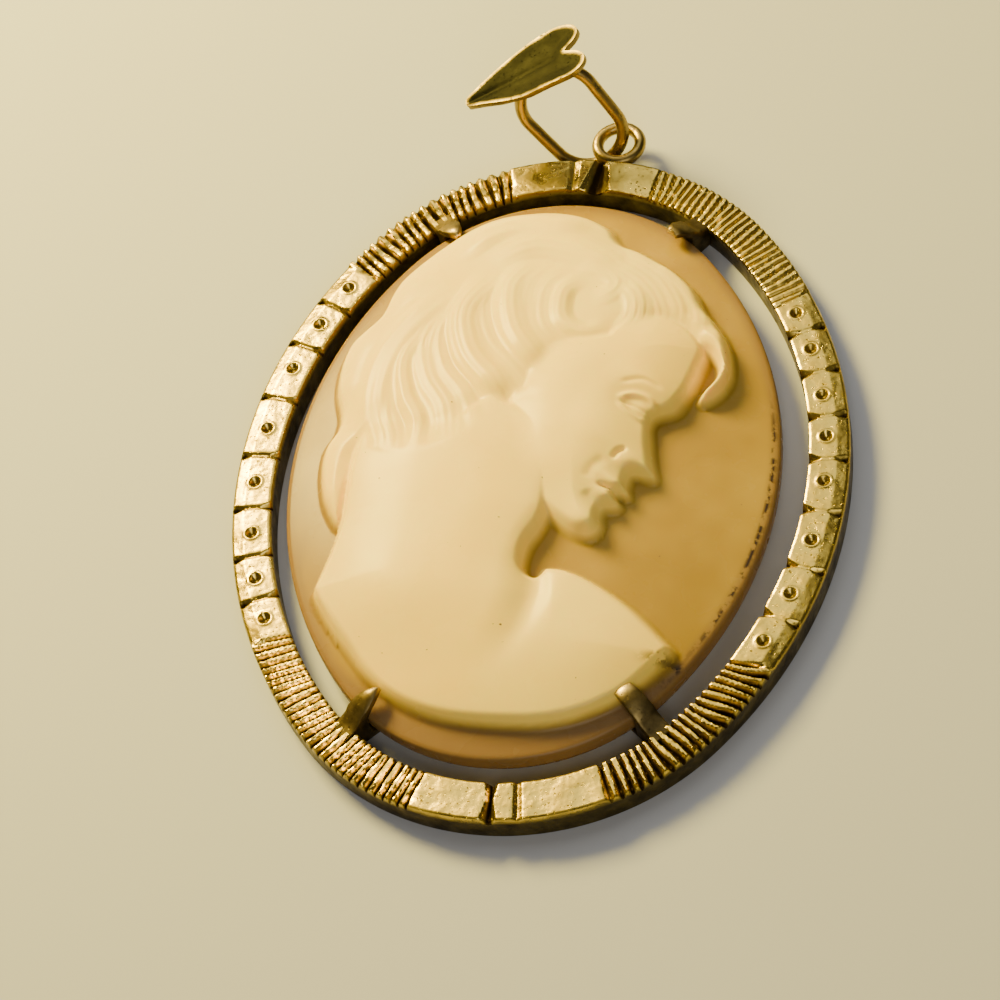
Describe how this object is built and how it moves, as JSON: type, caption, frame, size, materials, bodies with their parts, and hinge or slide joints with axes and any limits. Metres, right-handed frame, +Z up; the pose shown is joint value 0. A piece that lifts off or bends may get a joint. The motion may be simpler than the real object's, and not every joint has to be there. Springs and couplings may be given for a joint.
{
  "type": "cameo pendant",
  "caption": "Oval shell cameo with a carved head in profile, held by claws in an engraved gilt frame with a soldered ring and a leaf-faced bail.",
  "frame": {"origin": "middle of the whole part in X and Y, on the surface that it lies on", "axes": "+Z up out of the carved face, +Y towards the ring at the pendant's top, +X to the carving's right"},
  "size_m": [0.0374, 0.053, 0.0091],
  "materials": {
    "gilt": "worn polished gilt, dull in the grooves",
    "shell": "polished shell, cream carving over a tan ground",
    "gilt_bail": "worn polished gilt"
  },
  "bodies": {
    "pendant": {"frame": "gilt", "cameo": "shell"},
    "bail": {"bail": "gilt_bail"}
  },
  "joints": [
    {"name": "bail_swing", "type": "hinge", "parent": "pendant", "child": "bail", "pos_m": [0.00105, 0.02222, 0.00162], "axis": [-0.1632, 0.9254, -0.342], "range_deg": [-14, 15]}
  ]
}
